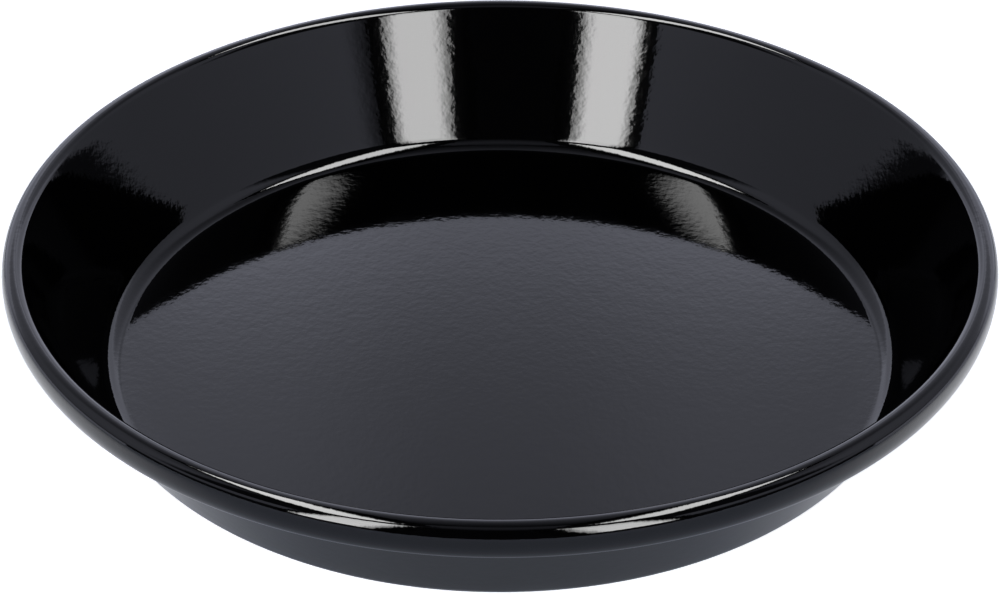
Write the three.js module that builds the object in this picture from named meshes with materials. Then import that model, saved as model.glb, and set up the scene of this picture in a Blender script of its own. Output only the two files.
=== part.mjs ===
// A quiche pan of enamelled sheet steel: a flat base, a plain flared wall and a rolled rim.
// It is one deep-drawn steel pressing under two coats of fired enamel on each face, and
// every layer is a solid of its own. Millimetres, +Z up, origin under the centre of the base.
import * as THREE from "three";

// Driving dimensions, over the finished enamel.
const OUTER_DIAMETER = 293; // over the rolled rim
const HEIGHT = 43.8; // from the table to the crest of the rim
const BASE_DIAMETER = 228.4; // of the flat floor inside
const BASE_FILLET = 7.1; // inside radius between floor and wall

// The rolled rim's section.
const INNER_BEND = 3; // radius between the wall and the crest
const OUTER_BEND = 3.6; // radius between the crest and the side
const SIDE_RADIUS = 8.4; // of the slightly swelling side
const WIDEST_DROP = 5.1; // from the crest down to the widest place of the side
const ROLL_HEIGHT = 10.9;
const LOWER_BEND = 2.9; // radius under the roll
const ROLL_TURN_DEG = 190; // from straight out, round under the roll, to its cut edge

// The layers, from the inside face to the outside face.
const COVER_COAT = 0.18;
const GROUND_COAT = 0.12;
const STEEL_GAUGE = 0.8;
const BOND_GAP = 0.01; // kept between neighbouring layers, so that no two solids share a face

// How finely the curves are cut.
const TURNS = 48; // facets round the axis
const FILLET_STEPS = 4;
const BEND_STEPS = 3;
const SIDE_STEPS = 1; // above the side's widest place, and below it
const CURL_STEPS = 3; // past the roll's lowest point

// Directions in the section, anticlockwise from straight out.
const OUT = 0;
const UP = Math.PI / 2;
const DOWN = -Math.PI / 2;
const CUT_EDGE = -THREE.MathUtils.degToRad(ROLL_TURN_DEG);

// Each layer lies between two depths under the inside face.
const insideCover = { top: 0, bottom: COVER_COAT };
const insideGround = under(insideCover, GROUND_COAT);
const steelSheet = under(insideGround, STEEL_GAUGE);
const outsideGround = under(steelSheet, GROUND_COAT);
const outsideCover = under(outsideGround, COVER_COAT);
const SHEET = outsideCover.bottom;

function under(above, thickness) {
  const top = above.bottom + BOND_GAP;
  return { top, bottom: top + thickness };
}

// Centres of the roll's arcs, as radius from the axis and height. The outer and the lower bend touch
// the side arc from within, and the inner and the outer bend meet on the crest.
const sideCentre = new THREE.Vector2(OUTER_DIAMETER / 2 - SIDE_RADIUS, HEIGHT - WIDEST_DROP);
const outerBend = withinSide(HEIGHT - OUTER_BEND, OUTER_BEND);
const lowerBend = withinSide(HEIGHT - ROLL_HEIGHT + LOWER_BEND, LOWER_BEND);
const innerBend = new THREE.Vector2(outerBend.x, HEIGHT - INNER_BEND);
const sideTop = direction(sideCentre, outerBend);
const sideBottom = direction(sideCentre, lowerBend);

function withinSide(height, radius) {
  const reach = SIDE_RADIUS - radius;
  const rise = height - sideCentre.y;
  return new THREE.Vector2(sideCentre.x + Math.sqrt(reach ** 2 - rise ** 2), height);
}

function direction(from, to) {
  return Math.atan2(to.y - from.y, to.x - from.x);
}

// The wall is the straight line that touches the fillet below and the inner bend above.
const filletCentre = new THREE.Vector2(BASE_DIAMETER / 2, SHEET + BASE_FILLET);
const between = innerBend.clone().sub(filletCentre);
const wallLean = Math.asin((INNER_BEND + BASE_FILLET) / between.length());
const wallSlope = direction(filletCentre, innerBend) + wallLean;
const wallFacing = wallSlope + UP;

// One place on the inside face: its point, and the direction that the face looks in.
function place(centre, reach, facing) {
  const out = new THREE.Vector2(Math.cos(facing), Math.sin(facing));
  return { point: centre.clone().addScaledVector(out, reach), out };
}

// Places along an arc, after its first. A hollow arc has a negative reach: it looks at its centre.
function arc(centre, reach, from, to, steps) {
  const places = [];
  for (let i = 1; i <= steps; i++) {
    places.push(place(centre, reach, from + ((to - from) * i) / steps));
  }
  return places;
}

// The inside face from the axis to the roll's cut edge: the roll is the same face, turned over.
const faceBelowRoll = [
  place(new THREE.Vector2(0, SHEET), 0, UP),
  place(filletCentre, -BASE_FILLET, UP),
  ...arc(filletCentre, -BASE_FILLET, UP, wallFacing, FILLET_STEPS),
  place(innerBend, INNER_BEND, wallFacing),
];
const wholeFace = [
  ...faceBelowRoll,
  ...arc(innerBend, INNER_BEND, wallFacing, UP, BEND_STEPS),
  ...arc(outerBend, OUTER_BEND, UP, sideTop, BEND_STEPS),
  ...arc(sideCentre, SIDE_RADIUS, sideTop, OUT, SIDE_STEPS),
  ...arc(sideCentre, SIDE_RADIUS, OUT, sideBottom, SIDE_STEPS),
  ...arc(lowerBend, LOWER_BEND, sideBottom, DOWN, BEND_STEPS),
  ...arc(lowerBend, LOWER_BEND, DOWN, CUT_EDGE, CURL_STEPS),
];

// The enamel that closes the cut edge is a last step of the curl, one cover coat long.
const capStart = place(lowerBend, LOWER_BEND, CUT_EDGE - BOND_GAP / LOWER_BEND);
const capEnd = place(lowerBend, LOWER_BEND, CUT_EDGE - (BOND_GAP + COVER_COAT) / LOWER_BEND);

// The line of a layer's face, at its depth.
function outline(places, depth) {
  return places.map(({ point, out }) => point.clone().addScaledVector(out, -depth));
}

// A layer's section, closed on the axis or by its own ends.
function section(places, { top, bottom }) {
  return [...outline(places, bottom), ...outline(places, top).reverse()];
}

// The inside cover coat runs over the roll and wraps the cut edge of the layers beneath it.
function wrappedSection(places, { top, bottom }, wrappedDepth) {
  return [
    ...outline([...places, capStart], bottom),
    ...outline([capStart, capEnd], wrappedDepth),
    ...outline([capEnd], top),
    ...outline(places, top).reverse(),
  ];
}

function turned(name, profile, material) {
  const mesh = new THREE.Mesh(new THREE.LatheGeometry(profile, TURNS), material);
  mesh.name = name;
  mesh.rotation.x = Math.PI / 2;
  return mesh;
}

const steel = new THREE.MeshStandardMaterial({ color: 0x8c9094, roughness: 0.45, metalness: 1 });
const groundEnamel = new THREE.MeshStandardMaterial({ color: 0x14181f, roughness: 0.5, metalness: 0 });
const blackEnamel = new THREE.MeshStandardMaterial({ color: 0x060607, roughness: 0.08, metalness: 0 });

const pan = new THREE.Group();
pan.add(
  turned("steel_shell", section(wholeFace, steelSheet), steel),
  turned("inside_ground_coat", section(wholeFace, insideGround), groundEnamel),
  turned("outside_ground_coat", section(wholeFace, outsideGround), groundEnamel),
  turned("inside_enamel", wrappedSection(wholeFace, insideCover, outsideGround.bottom), blackEnamel),
  turned("outside_enamel", section(faceBelowRoll, outsideCover), blackEnamel),
);

export default pan;
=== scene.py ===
"""A quiche pan of black enamelled steel: smooth turned layers, fired enamel and a small photo studio."""
import math

import bmesh
import bpy
from mathutils import Matrix, Vector


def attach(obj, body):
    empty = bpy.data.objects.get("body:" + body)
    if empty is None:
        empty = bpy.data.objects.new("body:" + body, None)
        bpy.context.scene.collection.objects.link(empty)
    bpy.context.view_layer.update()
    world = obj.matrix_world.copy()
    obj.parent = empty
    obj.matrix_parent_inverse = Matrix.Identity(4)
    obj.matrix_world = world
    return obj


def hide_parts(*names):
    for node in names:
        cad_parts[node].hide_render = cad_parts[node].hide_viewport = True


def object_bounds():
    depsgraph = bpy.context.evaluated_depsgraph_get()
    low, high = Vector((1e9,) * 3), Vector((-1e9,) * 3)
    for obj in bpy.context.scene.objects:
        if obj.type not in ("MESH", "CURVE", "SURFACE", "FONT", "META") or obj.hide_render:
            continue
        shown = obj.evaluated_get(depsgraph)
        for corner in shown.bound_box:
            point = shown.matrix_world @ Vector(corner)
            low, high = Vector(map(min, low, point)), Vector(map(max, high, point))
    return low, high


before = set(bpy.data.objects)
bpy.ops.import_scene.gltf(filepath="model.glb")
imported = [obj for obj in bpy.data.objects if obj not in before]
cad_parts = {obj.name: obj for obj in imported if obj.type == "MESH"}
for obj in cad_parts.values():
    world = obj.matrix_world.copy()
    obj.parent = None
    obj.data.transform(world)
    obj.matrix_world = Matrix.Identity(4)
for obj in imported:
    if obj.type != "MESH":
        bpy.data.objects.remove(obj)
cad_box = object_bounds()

# Sizes of the finished pan, in metres.
OUTER_DIAMETER = cad_box[1].x - cad_box[0].x
HEIGHT = cad_box[1].z - cad_box[0].z
BASE_DIAMETER = 0.2284
BASE_FILLET = 0.0071
INNER_BEND = 0.003
OUTER_BEND = 0.0036
SIDE_RADIUS = 0.0084
WIDEST_DROP = 0.0051
ROLL_HEIGHT = 0.0109
LOWER_BEND = 0.0029
ROLL_TURN = math.radians(190)

# The layers, from the inside face to the outside face.
COVER_COAT = 0.00018
GROUND_COAT = 0.00012
STEEL_GAUGE = 0.0008
BOND_GAP = 0.00001

# How finely the layers are turned.
FACETS = 256
STEPS = 12
WELD = 0.000002
SHARP_EDGE = math.radians(40)

# The finishes: the darkest and palest colour, the lowest roughness and how far it goes up, the size
# of the lumps, the height of the relief, and the share that each kind of lump has in it.
GLASS_IOR = 1.5
ENAMEL_COLOURS = ((0.0002, 0.0002, 0.0003), (0.0005, 0.0005, 0.0006))
ENAMEL_ROUGHNESS = (0.03, 0.03)
CLOUD_SIZE = 0.02
FLOW_SIZE = 0.006
FLOW_SHARE = 1.2
PEEL_SIZE = 0.002
PEEL_SHARE = 1.5
FINE_SIZE = 0.0007
FINE_SHARE = 0.4
PEEL_HEIGHT = 0.00001
GROUND_COLOURS = ((0.004, 0.005, 0.008), (0.012, 0.015, 0.022))
GROUND_ROUGHNESS = (0.35, 0.2)
BUBBLE_SIZE = 0.0006
BUBBLE_HEIGHT = 0.00003
STEEL_COLOURS = ((0.42, 0.43, 0.44), (0.56, 0.57, 0.58))
STEEL_ROUGHNESS = (0.35, 0.25)
ETCH_SIZE = 0.0008
ETCH_HEIGHT = 0.00002

# The camera, from the circles of the rim, the floor and the foot.
IMAGE_WIDTH = 1000
FOCAL_PIXELS = 2954.8
SENSOR_MM = 36
CAMERA_DISTANCE = 0.88832
CAMERA_ELEVATION = math.radians(33.33)
CAMERA_TARGET = Vector((0, 0, 0.0187))

# The table. Beyond its edges lies the dark foot of the studio.
WHITE = (1, 1, 1)
TABLE_LEVEL = -0.0001
TABLE_REACH = 1.5
TABLE_FRONT = -0.37
TABLE_COLOUR = (0.62, 0.665, 0.775)
TABLE_GLOW = 0.85

# Painted pools of light on the table, one of each on the left and right. Only the gloss shows them.
# Each has its distance aside, its depth, its reach and its level.
POOLS = ((0.2, -0.05, 0.16, 1.0), (0.3, 0.12, 0.3, 0.7))

# Low cards beside the pan, which glow with painted light: how far aside they stand, and where they start and
# end.
CARD_PLACE = (0.45, -0.15, 0.3)
CARD_HEIGHT = 0.075
CARD_GLOW = 0.9

# The studio's greys, by elevation in degrees, and the shares of depth over which they change.
# The share is -1 straight in front, where the camera is, and 1 straight behind the pan.
BACKDROP_TINT = (0.962, 0.992, 1.19)
BACK_LEVELS = (
    (-90, 0.5), (-5, 0.85), (5, 1.05), (14, 1.12), (20, 1.0), (26, 0.92), (30, 0.98), (31.5, 1.1),
    (32, 1.05), (33.5, 0.76), (35, 0.6), (38, 0.56), (45, 0.46), (52, 0.35), (60, 0.25), (70, 0.19),
    (77, 0.13), (84, 0.09), (90, 0.08),
)
SIDE_LEVELS = (
    (-90, 0.3), (-5, 0.5), (8, 0.42), (20, 0.47), (30, 0.55), (47, 0.58), (60, 0.3), (75, 0.12), (90, 0.08),
)
SIDE_FALL = 0.35
ROOM_LEVELS = (
    (-90, 0.05), (0, 0.01), (50, 0.01), (55, 0.04), (61, 0.12), (66, 0.18), (72, 0.22), (78, 0.18),
    (84, 0.1), (90, 0.08),
)
ROOM_TO_SIDES = (-0.85, -0.75)
SIDES_TO_BACK = (0.48, 0.72)

# The back is narrower low down: from the first rise down to the second, by the third as a share of depth.
LOW_GAP = (0.17, 0.09, 0.1)

# Past the first step aside the back's greys lie lower, by the second for each further step.
BACK_LEAN = (0.1, 0.38)

# Two brighter bands stand beside the back's middle, from one pair of steps aside to the other. The tilt
# makes the left one brighter than the right one.
BACK_ASIDE = (0.01, 0.08)
BACK_GAIN_END = (0.3, 0.14)
BACK_GAIN = 0.26
BACK_TILT = 0.6

# The sides are lit in a slanting strip. Each of its edges rises by the first number for each step
# aside and sinks by the second for each step back. The last two give the width of its blur. Towards
# the back first its top and then its foot fade out.
STRIP_FOOT = (0.165, 0.12, -0.012, 0.012)
STRIP_TOP = (0.327, 0.462, 0.03, -0.03)
FOOT_FADE = (0.66, 0.6)
TOP_FADE = (-0.3, -0.1)
BESIDE_STRIP = 0.03

# The gloss that is seen in another gloss is dimmer: the first one polarises its light.
# A ray's glossy depth is 1 after the first gloss and 2 after the second.
FIRST_GLOSS_ENDS = 1.5
SECOND_BOUNCE_LOSS = 0.85

# The lamps: name, middle of the near or lower end, middle of the other end, width, radiance, and
# what they light: all, the gloss only, or the first gloss only. Within this distance of its long edges
# a lamp is dimmer. A black frame stands a little behind it.
LAMP_EDGE = 0.11
LONG_LAMP_EDGE = 0.05
LAMP_EDGE_LEVEL = 0.3
FRAME = 0.13
FRAME_BEHIND = 0.004
FRAME_COLOUR = (0.002, 0.002, 0.002)
SIDEWAYS = Vector((1, 0, 0))
LAMPS = (
    ("low_lamp_left", (-0.835, -1.25, 0.02), (-0.757, -1.25, 0.65), 0.53, 13.0, "all"),
    ("low_lamp_right", (0.625, -1.25, 0.02), (0.535, -1.25, 0.65), 0.49, 12.0, "all"),
    ("high_lamp_left", (-0.755, -1.25, 0.65), (-0.755, -1.25, 1.0), 0.51, 13.0, "all"),
    ("high_lamp_right", (0.54, -1.25, 0.65), (0.54, -1.25, 1.0), 0.46, 12.0, "all"),
    ("top_lamp_left", (-0.755, -1.25, 1.0), (-0.755, -1.25, 1.68), 0.51, 12.0, "first gloss"),
    ("top_lamp_right", (0.54, -1.25, 1.0), (0.54, -1.25, 1.5), 0.46, 10.0, "first gloss"),
    ("long_lamp_left", (-0.545, -0.68, 1.36), (-0.54, 0.5, 1.4), 0.34, 14.0, "gloss"),
    ("long_lamp_right", (0.52, -0.68, 1.36), (0.538, 0.46, 1.4), 0.34, 12.5, "gloss"),
)

# The colour sockets of a Mix node share their names with others, so they go by number.
MIX_LOW = 6
MIX_HIGH = 7
MIX_RESULT = 2


class Field:
    """A socket of a node tree. Arithmetic on it adds Math nodes."""

    def __init__(self, tree, socket):
        self.tree = tree
        self.socket = socket

    def math(self, operation, *values, clamp=False):
        settings = {"operation": operation, "use_clamp": clamp}
        return self.tree.add("ShaderNodeMath", settings, dict(enumerate(values)))

    def __add__(self, other):
        return self.math("ADD", self, other)

    def __radd__(self, other):
        return self.math("ADD", other, self)

    def __sub__(self, other):
        return self.math("SUBTRACT", self, other)

    def __rsub__(self, other):
        return self.math("SUBTRACT", other, self)

    def __mul__(self, other):
        return self.math("MULTIPLY", self, other)

    def __rmul__(self, other):
        return self.math("MULTIPLY", other, self)

    def __truediv__(self, other):
        return self.math("DIVIDE", self, other)

    def __rtruediv__(self, other):
        return self.math("DIVIDE", other, self)

    def __neg__(self):
        return self.math("MULTIPLY", self, -1.0)

    def __gt__(self, other):
        return self.math("GREATER_THAN", self, other)

    def within_one(self):
        return self.math("ADD", self, 0.0, clamp=True)

    def least(self, other):
        return self.math("MINIMUM", self, other)

    def sin(self):
        return self.math("SINE", self)

    def cos(self):
        return self.math("COSINE", self)

    def root(self):
        return self.math("SQRT", self)

    def angle_from(self, across):
        return self.math("ARCTAN2", self, across)

    def arcsine(self):
        return self.math("ARCSINE", self)

    def absolute(self):
        return self.math("ABSOLUTE", self)

    def rounded(self):
        return self.math("ROUND", self)


class Tree:
    """A node tree whose nodes all come from one method."""

    def __init__(self, nodes):
        self.nodes = nodes

    def add(self, kind, settings=None, sockets=None, output=0):
        node = self.nodes.nodes.new(kind)
        for name, value in (settings or {}).items():
            if name == "stops":
                set_stops(node.color_ramp, value)
            else:
                setattr(node, name, value)
        for name, value in (sockets or {}).items():
            if isinstance(value, Field):
                self.nodes.links.new(value.socket, node.inputs[name])
            else:
                node.inputs[name].default_value = value
        return Field(self, node.outputs[output]) if node.outputs else None

    def parts(self, vector):
        return [self.add("ShaderNodeSeparateXYZ", {}, {0: vector}, axis) for axis in "XYZ"]

    def vector(self, x, y, z):
        return self.add("ShaderNodeCombineXYZ", {}, {"X": x, "Y": y, "Z": z})

    def mix(self, share, low, high, settings=None):
        """A colour between two, by a share. Each is a socket, a grey or a colour."""
        settings = {"data_type": "RGBA", **(settings or {})}
        sockets = {"Factor": share, MIX_LOW: rgba(low), MIX_HIGH: rgba(high)}
        return self.add("ShaderNodeMix", settings, sockets, MIX_RESULT)


def rgba(value):
    """A grey or a colour with its fourth part. A socket stays as it is."""
    if isinstance(value, Field):
        return value
    return (*value, 1) if isinstance(value, tuple) else (value, value, value, 1)


def set_stops(ramp, stops):
    """Gives a colour ramp its stops: pairs of place and grey."""
    while len(ramp.elements) < len(stops):
        ramp.elements.new(0.5)
    for element, (place, grey) in zip(ramp.elements, stops):
        element.position = place
        element.color = rgba(grey)


# The turned layers

LAYER_SIZES = {
    "Outer Diameter": OUTER_DIAMETER,
    "Height": HEIGHT,
    "Base Diameter": BASE_DIAMETER,
    "Base Fillet": BASE_FILLET,
    "Inner Bend": INNER_BEND,
    "Outer Bend": OUTER_BEND,
    "Side Radius": SIDE_RADIUS,
    "Widest Drop": WIDEST_DROP,
    "Roll Height": ROLL_HEIGHT,
    "Lower Bend": LOWER_BEND,
    "Roll Turn": ROLL_TURN,
    "Sheet": 2 * (COVER_COAT + GROUND_COAT) + STEEL_GAUGE + 4 * BOND_GAP,
}
LAYER_DEPTHS = ("Top Depth", "Bottom Depth", "Edge Depth", "Edge Start", "Edge Reach")
FACE_UNITS = 7
WALL_UNITS = 3
EDGE_ROWS = 4
UP = math.pi / 2


def inside_face(size, along):
    """A place on the pan's inside face, from the axis (0) to the roll's cut edge.

    The face is a chain of lines and arcs, each one unit of `along`. Gives radius, height, and the
    direction that the face looks in.
    """
    inner, outer, side, lower = (
        size[name] for name in ("Inner Bend", "Outer Bend", "Side Radius", "Lower Bend")
    )
    outer_lift = size["Widest Drop"] - outer
    outer_reach = reach_within(side - outer, outer_lift)
    lower_drop = size["Roll Height"] - size["Widest Drop"] - lower
    lower_reach = reach_within(side - lower, lower_drop)
    side_top = outer_lift.angle_from(outer_reach)
    side_bottom = -lower_drop.angle_from(lower_reach)

    run = size["Outer Diameter"] / 2 - side + outer_reach - size["Base Diameter"] / 2
    lift = size["Height"] - inner - size["Sheet"] - size["Base Fillet"]
    touch = inner + size["Base Fillet"]
    reach = (run * run + lift * lift).root()
    wall_slope = lift.angle_from(run) + (touch / reach).arcsine()
    wall_length = reach_within(reach, touch)
    wall_facing = wall_slope + UP

    wall = wall_length * part_of(along, 2)
    radius = size["Base Diameter"] / 2 * part_of(along, 0) + wall * wall_slope.cos()
    height = size["Sheet"] + wall * wall_slope.sin()
    facing = UP
    arcs = (
        (1, -size["Base Fillet"], UP, wall_facing),
        (3, inner, wall_facing, UP),
        (4, outer, UP, side_top),
        (5, side, side_top, side_bottom),
        (6, lower, side_bottom, -size["Roll Turn"]),
    )
    for unit, bend, start, end in arcs:
        turned = part_of(along, unit) * (end - start)
        angle = turned + start
        radius = radius + bend * (angle.cos() - cosine(start))
        height = height + bend * (angle.sin() - sine(start))
        facing = turned + facing
    return radius, height, facing


def reach_within(slant, rise):
    """The level side of a right-angled triangle."""
    return (slant * slant - rise * rise).root()


def part_of(along, unit):
    """How much of one unit of the chain lies behind a place, from 0 to 1."""
    return (along - unit).within_one()


def cosine(angle):
    return angle.cos() if isinstance(angle, Field) else math.cos(angle)


def sine(angle):
    return angle.sin() if isinstance(angle, Field) else math.sin(angle)


def turned_layer_tree():
    """Geometry nodes that turn one layer of the pan's wall about the axis.

    Rows of a grid go out along the layer's bottom face, round its cut edge and back along its top
    face. A coat that wraps the cut edge reaches past it, down to the edge depth.
    """
    group = bpy.data.node_groups.new("turned layer", "GeometryNodeTree")
    for name in (*LAYER_SIZES, *LAYER_DEPTHS):
        group.interface.new_socket(name, in_out="INPUT", socket_type="NodeSocketFloat")
    for name in ("Facets", "Units"):
        group.interface.new_socket(name, in_out="INPUT", socket_type="NodeSocketInt")
    group.interface.new_socket("Finish", in_out="INPUT", socket_type="NodeSocketMaterial")
    group.interface.new_socket("Layer", in_out="OUTPUT", socket_type="NodeSocketGeometry")
    tree = Tree(group)
    inputs = tree.add("NodeGroupInput").socket.node.outputs
    size = {socket.name: Field(tree, socket) for socket in inputs if socket.name}

    # The grid is one by one, around the origin.
    last = size["Units"] * STEPS
    rows = last * 2 + (2 + EDGE_ROWS)
    grid_sockets = {"Size X": 1.0, "Size Y": 1.0, "Vertices X": size["Facets"] + 1, "Vertices Y": rows}
    grid = tree.add("GeometryNodeMeshGrid", {}, grid_sockets)
    across, down, _ = tree.parts(tree.add("GeometryNodeInputPosition"))
    row = ((down + 0.5) * (rows - 1)).rounded()
    along = row.least(last).least(rows - 1 - row) / STEPS
    turn = (across + 0.5) * (2 * math.pi)

    def from_row(count):
        """1 from this row on, counted from the bottom face's last one, else 0."""
        return row > last + (count - 0.5)

    past_edge = size["Edge Start"] * from_row(1)
    past_edge = past_edge + (size["Edge Reach"] - size["Edge Start"]) * from_row(3)
    past_edge = past_edge - size["Edge Reach"] * from_row(5)
    depth = size["Bottom Depth"]
    depth = depth + (size["Edge Depth"] - size["Bottom Depth"]) * from_row(2)
    depth = depth + (size["Top Depth"] - size["Edge Depth"]) * from_row(4)

    radius, height, facing = inside_face(size, along)
    curl = size["Lower Bend"]
    facing_past = facing - past_edge / curl
    radius = radius + curl * (facing_past.cos() - facing.cos()) - depth * facing_past.cos()
    height = height + curl * (facing_past.sin() - facing.sin()) - depth * facing_past.sin()
    place = tree.vector(radius * turn.cos(), radius * turn.sin(), height)

    layer = tree.add("GeometryNodeSetPosition", {}, {"Geometry": grid, "Position": place})
    layer = tree.add("GeometryNodeMergeByDistance", {}, {"Geometry": layer, "Distance": WELD})
    layer = tree.add("GeometryNodeSetShadeSmooth", {}, {"Geometry": layer, "Shade Smooth": True})
    layer = tree.add("GeometryNodeRealizeInstances", {}, {"Geometry": layer})
    layer = tree.add("GeometryNodeSetMaterial", {}, {"Geometry": layer, "Material": size["Finish"]})
    tree.add("NodeGroupOutput", {}, {"Layer": layer})
    return group


def turn_layer(group, name, node, finish, depths, units):
    """Makes one layer as a plain mesh, in place of its CAD node."""
    piece = bpy.data.objects.new(name, bpy.data.meshes.new(name))
    bpy.context.collection.objects.link(piece)
    modifier = piece.modifiers.new("turned layer", "NODES")
    modifier.node_group = group
    values = {**LAYER_SIZES, **dict(zip(LAYER_DEPTHS, depths))}
    values |= {"Facets": FACETS, "Units": units, "Finish": finish}
    for socket in group.interface.items_tree:
        if socket.in_out == "INPUT":
            modifier[socket.identifier] = values[socket.name]
    evaluated = piece.evaluated_get(bpy.context.evaluated_depsgraph_get())
    mesh = bpy.data.meshes.new_from_object(evaluated)
    piece.modifiers.remove(modifier)
    shell = bmesh.new()
    shell.from_mesh(mesh)
    bmesh.ops.recalc_face_normals(shell, faces=shell.faces)
    shell.to_mesh(mesh)
    shell.free()
    mesh.set_sharp_from_angle(angle=SHARP_EDGE)
    piece.data = mesh
    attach(piece, "root")
    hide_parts(node)


# Finishes


def new_finish(name):
    material = bpy.data.materials.new(name)
    material.use_nodes = True
    material.node_tree.nodes.clear()
    return material, Tree(material.node_tree)


def grain(tree, place, size, detail):
    """Noise whose lumps are about `size` metres across, from 0 to 1."""
    sockets = {"Vector": place, "Scale": 1 / size, "Detail": detail}
    return tree.add("ShaderNodeTexNoise", {"noise_dimensions": "3D"}, sockets, "Fac")


def roughened(lumps, roughness):
    """A roughness that goes up from its lowest on the lumps."""
    lowest, spread = roughness
    return lumps * spread + lowest


def close_finish(tree, relief, height, sockets):
    """Adds the surface of a finish, with a relief of a height in metres."""
    normal = tree.add("ShaderNodeBump", {}, {"Height": relief, "Strength": 1.0, "Distance": height})
    surface = tree.add("ShaderNodeBsdfPrincipled", {}, {**sockets, "Normal": normal})
    tree.add("ShaderNodeOutputMaterial", {}, {"Surface": surface})


def black_enamel():
    """The cover coat: near-black glass with an orange peel of about a hundredth of a millimetre."""
    material, tree = new_finish("black_enamel")
    place = tree.add("ShaderNodeTexCoord", output="Object")
    flow = grain(tree, place, FLOW_SIZE, 1.0)
    peel = grain(tree, place, PEEL_SIZE, 1.0)
    fine = grain(tree, place, FINE_SIZE, 1.0)
    cloud = grain(tree, place, CLOUD_SIZE, 3.0)
    relief = flow * FLOW_SHARE + peel * PEEL_SHARE + fine * FINE_SHARE
    sockets = {
        "Base Color": tree.mix(cloud, *ENAMEL_COLOURS),
        "Roughness": roughened(peel, ENAMEL_ROUGHNESS),
        "IOR": GLASS_IOR,
    }
    close_finish(tree, relief, PEEL_HEIGHT, sockets)
    return material


def ground_enamel():
    """The ground coat: a satin blue-black glass with small bubbles in it."""
    material, tree = new_finish("ground_enamel")
    place = tree.add("ShaderNodeTexCoord", output="Object")
    bubbles = grain(tree, place, BUBBLE_SIZE, 2.0)
    sockets = {
        "Base Color": tree.mix(bubbles, *GROUND_COLOURS),
        "Roughness": roughened(bubbles, GROUND_ROUGHNESS),
        "IOR": GLASS_IOR,
    }
    close_finish(tree, bubbles, BUBBLE_HEIGHT, sockets)
    return material


def pickled_steel():
    """The sheet: grey steel, matt from the pickling bath."""
    material, tree = new_finish("pickled_steel")
    place = tree.add("ShaderNodeTexCoord", output="Object")
    etch = grain(tree, place, ETCH_SIZE, 4.0)
    sockets = {
        "Base Color": tree.mix(etch, *STEEL_COLOURS),
        "Metallic": 1.0,
        "Roughness": roughened(etch, STEEL_ROUGHNESS),
    }
    close_finish(tree, etch, ETCH_HEIGHT, sockets)
    return material


def make_pan():
    """The five layers, each between two depths under the inside face.

    The inside enamel wraps the cut edge of all but the outside enamel, which ends at the roll's mouth.
    """
    enamel, ground, steel = black_enamel(), ground_enamel(), pickled_steel()
    group = turned_layer_tree()
    tops = [0.0]
    for thickness in (COVER_COAT, GROUND_COAT, STEEL_GAUGE, GROUND_COAT):
        tops.append(tops[-1] + thickness + BOND_GAP)
    flush = (0.0, 0.0)
    layers = (
        ("inside_enamel", "black_enamel", enamel, COVER_COAT),
        ("inside_ground_coat", "ground_enamel", ground, GROUND_COAT),
        ("steel_shell", "pressed_steel", steel, STEEL_GAUGE),
        ("outside_ground_coat", "ground_enamel", ground, GROUND_COAT),
        ("outside_enamel", "black_enamel", enamel, COVER_COAT),
    )
    for top, (node, slot, finish, thickness) in zip(tops, layers):
        bottom = top + thickness
        depths = (top, bottom, bottom, *flush)
        if node == "inside_enamel":
            depths = (top, bottom, tops[-1] - BOND_GAP, BOND_GAP, BOND_GAP + COVER_COAT)
        units = WALL_UNITS if node == "outside_enamel" else FACE_UNITS
        turn_layer(group, "smooth_" + node, node, finish, depths, units)


# Camera, table and studio


def place_camera():
    camera = bpy.data.objects.new("camera", bpy.data.cameras.new("camera"))
    bpy.context.collection.objects.link(camera)
    camera.data.sensor_width = SENSOR_MM
    camera.data.lens = FOCAL_PIXELS / IMAGE_WIDTH * SENSOR_MM
    away = Vector((0, -math.cos(CAMERA_ELEVATION), math.sin(CAMERA_ELEVATION)))
    camera.location = CAMERA_TARGET + CAMERA_DISTANCE * away
    camera.rotation_euler = (math.pi / 2 - CAMERA_ELEVATION, 0, 0)
    bpy.context.scene.camera = camera


def seen_straight(tree):
    """1 for a ray straight from the camera or through something clear, else 0."""
    straight = tree.add("ShaderNodeLightPath", output="Is Camera Ray")
    through = tree.add("ShaderNodeLightPath", output="Is Transmission Ray")
    return (straight + through).within_one()


def past_first_gloss(tree):
    """1 for a ray that has met a second gloss, else 0."""
    return tree.add("ShaderNodeLightPath", output="Glossy Depth") > FIRST_GLOSS_ENDS


def between(value, low, high):
    """0 below low, 1 above high, smooth between them."""
    share = ((value - low) / (high - low)).within_one()
    return share * share * (3 - 2 * share)


def stage_sheet(name, corners, material):
    """A flat four-cornered sheet that belongs to the studio."""
    mesh = bpy.data.meshes.new(name)
    mesh.from_pydata([tuple(corner) for corner in corners], [], [(0, 1, 2, 3)])
    mesh.materials.append(material)
    sheet = bpy.data.objects.new(name, mesh)
    bpy.context.collection.objects.link(sheet)
    return sheet


def show_in_gloss_only(sheet):
    sheet.visible_camera = False
    sheet.visible_diffuse = False
    sheet.visible_shadow = False


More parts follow.
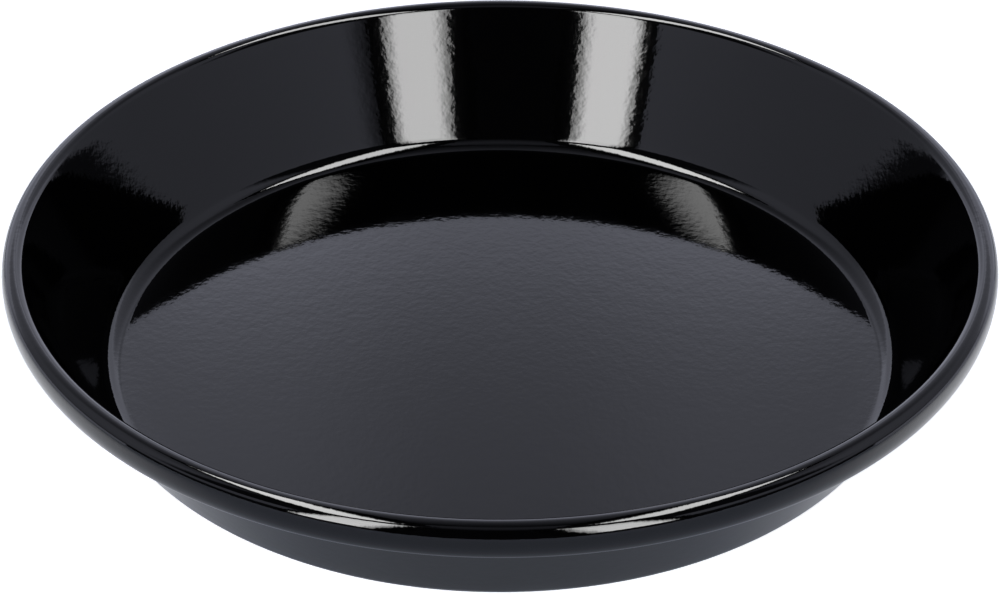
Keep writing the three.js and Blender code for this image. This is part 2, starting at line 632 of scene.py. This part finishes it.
def lay_table():
    """A pale table top, clear from below. To the camera it glows up to white, with the pan's shadow on it.
    The gloss sees painted pools of light on it.
    """
    material, tree = new_finish("pale_table")
    paper = tree.add("ShaderNodeBsdfDiffuse", {}, {"Color": rgba(TABLE_COLOUR)})
    in_gloss = tree.add("ShaderNodeLightPath", output="Is Glossy Ray")
    x, y, _ = tree.parts(tree.add("ShaderNodeTexCoord", output="Object"))
    strength = seen_straight(tree) * TABLE_GLOW
    # Painted pools of light: a glow added to the table for glossy rays only.
    for place_x, place_y, reach, level in POOLS:
        aside = x.absolute() - place_x
        ahead = y - place_y
        pool = between((aside * aside + ahead * ahead).root(), reach, 0.0)
        strength = strength + in_gloss * pool * level
    glow = tree.add("ShaderNodeEmission", {}, {"Color": rgba(WHITE), "Strength": strength})
    top = tree.add("ShaderNodeAddShader", {}, {0: paper, 1: glow})
    clear = tree.add("ShaderNodeBsdfTransparent", {}, {"Color": rgba(WHITE)})
    below = tree.add("ShaderNodeNewGeometry", output="Backfacing")
    both = tree.add("ShaderNodeMixShader", {}, {0: below, 1: top, 2: clear})
    tree.add("ShaderNodeOutputMaterial", {}, {"Surface": both})
    left, right, front, back = -TABLE_REACH, TABLE_REACH, TABLE_FRONT, TABLE_REACH
    corners = ((left, front), (right, front), (right, back), (left, back))
    stage_sheet("table", [(*corner, TABLE_LEVEL) for corner in corners], material)


def stand_cards():
    """A low white card on each side of the table, which glows with painted light that lights nothing and
    which only gloss shows, most of all the rim's.
    """
    aside, front, back = CARD_PLACE
    material, tree = new_finish("white_card")
    # The card's glow is painted light: it stands in for a lit card and shows only in gloss.
    glow = tree.add("ShaderNodeEmission", {}, {"Color": rgba(BACKDROP_TINT), "Strength": CARD_GLOW})
    tree.add("ShaderNodeOutputMaterial", {}, {"Surface": glow})
    for name, x in (("card_left", -aside), ("card_right", aside)):
        corners = [(x, front, 0), (x, back, 0), (x, back, CARD_HEIGHT), (x, front, CARD_HEIGHT)]
        show_in_gloss_only(stage_sheet(name, corners, material))


def by_elevation(tree, rise, levels):
    """A grey that follows pairs of elevation in degrees and level. The rise goes from -1 to 1."""
    stops = [((math.sin(math.radians(elevation)) + 1) / 2, level) for elevation, level in levels]
    return tree.add("ShaderNodeValToRGB", {"stops": stops}, {"Fac": rise * 0.5 + 0.5}, "Color")


def lit_past(aside, depth, rise, edge):
    """1 on the lit side of a slanting edge of the side light, else 0."""
    rising, sinking, low, high = edge
    return between(rise - (aside * rising - depth * sinking), low, high)


def hang_backdrop():
    """A pale sheet behind and beside the pan, and a dark room in front of it, where the camera is."""
    world = bpy.data.worlds.new("studio")
    bpy.context.scene.world = world
    world.use_nodes = True
    world.node_tree.nodes.clear()
    tree = Tree(world.node_tree)
    across, depth, rise = tree.parts(tree.add("ShaderNodeTexCoord", output="Generated"))
    aside = across.absolute()
    share_back = depth / (1 - rise * rise).root()
    past_one = {"clamp_factor": False}

    over_foot = lit_past(aside, depth, rise, STRIP_FOOT)
    over_foot = 1 - (1 - over_foot) * between(share_back, *FOOT_FADE)
    under_top = lit_past(aside, depth, rise, STRIP_TOP)
    under_top = 1 - (1 - under_top) * (1 - between(share_back, *TOP_FADE))
    strip = over_foot * under_top * (1 - share_back * SIDE_FALL)
    sides = tree.mix(strip, BESIDE_STRIP, by_elevation(tree, rise, SIDE_LEVELS), past_one)

    lean_start, lean_rate = BACK_LEAN
    lean = (aside - lean_start).within_one() * lean_rate
    back = by_elevation(tree, rise + lean, BACK_LEVELS)
    gain = between(aside, *BACK_ASIDE) * between(aside, *BACK_GAIN_END)
    gain = gain * (BACK_GAIN - across * BACK_TILT)
    back = tree.mix(gain + 1, 0.0, back, past_one)

    gap_top, gap_foot, gap_width = LOW_GAP
    gap = between(rise, gap_top, gap_foot) * gap_width
    grey = tree.mix(between(share_back - gap, *SIDES_TO_BACK), sides, back, past_one)
    room = by_elevation(tree, rise, ROOM_LEVELS)
    grey = tree.mix(between(share_back, *ROOM_TO_SIDES), room, grey, past_one)
    tinted = tree.mix(1.0, grey, BACKDROP_TINT, {"blend_type": "MULTIPLY"})

    strength = 1 - past_first_gloss(tree) * SECOND_BOUNCE_LOSS
    studio = tree.add("ShaderNodeBackground", {}, {"Color": tinted, "Strength": strength})
    white = tree.add("ShaderNodeBackground", {}, {"Color": rgba(WHITE), "Strength": 1.0})
    both = tree.add("ShaderNodeMixShader", {}, {0: seen_straight(tree), 1: studio, 2: white})
    tree.add("ShaderNodeOutputWorld", {}, {"Surface": both})


def hang_lamp(name, start, end, width, radiance, lights, black):
    """A soft lamp from start to end, in a black frame. It shines on the pan and the camera can't see it."""
    start, end = Vector(start), Vector(end)
    middle = (start + end) / 2
    length = (end - start).length
    along = (end - start).normalized()
    across = (SIDEWAYS - along * along.dot(SIDEWAYS)).normalized()
    back = across.cross(along)
    if back.dot(middle) < 0:
        across, back = -across, -back
    data = bpy.data.lights.new(name, "AREA")
    data.shape = "RECTANGLE"
    data.size = width
    data.size_y = length
    data.energy = radiance * math.pi * width * length
    soften_edges(data, LONG_LAMP_EDGE if lights == "gloss" else LAMP_EDGE, lights == "first gloss")
    lamp = bpy.data.objects.new(name, data)
    lamp.matrix_world = Matrix.Translation(middle) @ Matrix((across, along, back)).transposed().to_4x4()
    lamp.visible_camera = False
    lamp.visible_diffuse = lights == "all"
    bpy.context.collection.objects.link(lamp)
    reach_across = across * (width / 2 + FRAME)
    reach_along = along * (length / 2 + FRAME)
    behind = middle + back * FRAME_BEHIND
    turns = ((-1, -1), (1, -1), (1, 1), (-1, 1))
    corners = [behind + i * reach_across + j * reach_along for i, j in turns]
    show_in_gloss_only(stage_sheet(name + "_frame", corners, black))


def soften_edges(data, edge, first_gloss_only):
    """Dims a lamp towards its long edges, as the cloth of a soft box does."""
    data.use_nodes = True
    data.node_tree.nodes.clear()
    tree = Tree(data.node_tree)
    across, _, _ = tree.parts(tree.add("ShaderNodeNewGeometry", output="Parametric"))
    inside = between(across.least(1 - across) * data.size, 0.0, edge)
    level = inside * (1 - LAMP_EDGE_LEVEL) + LAMP_EDGE_LEVEL
    if first_gloss_only:
        level = level * (1 - past_first_gloss(tree))
    glow = tree.add("ShaderNodeEmission", {}, {"Strength": level})
    tree.add("ShaderNodeOutputLight", {}, {"Surface": glow})


def light_pan():
    """On each side three lamps above each other beside the camera, and a long one overhead."""
    black, tree = new_finish("black_frame")
    cloth = tree.add("ShaderNodeBsdfDiffuse", {}, {"Color": rgba(FRAME_COLOUR)})
    tree.add("ShaderNodeOutputMaterial", {}, {"Surface": cloth})
    for lamp in LAMPS:
        hang_lamp(*lamp, black)


make_pan()
place_camera()
lay_table()
stand_cards()
hang_backdrop()
light_pan()
bpy.context.scene.view_settings.view_transform = "Standard"
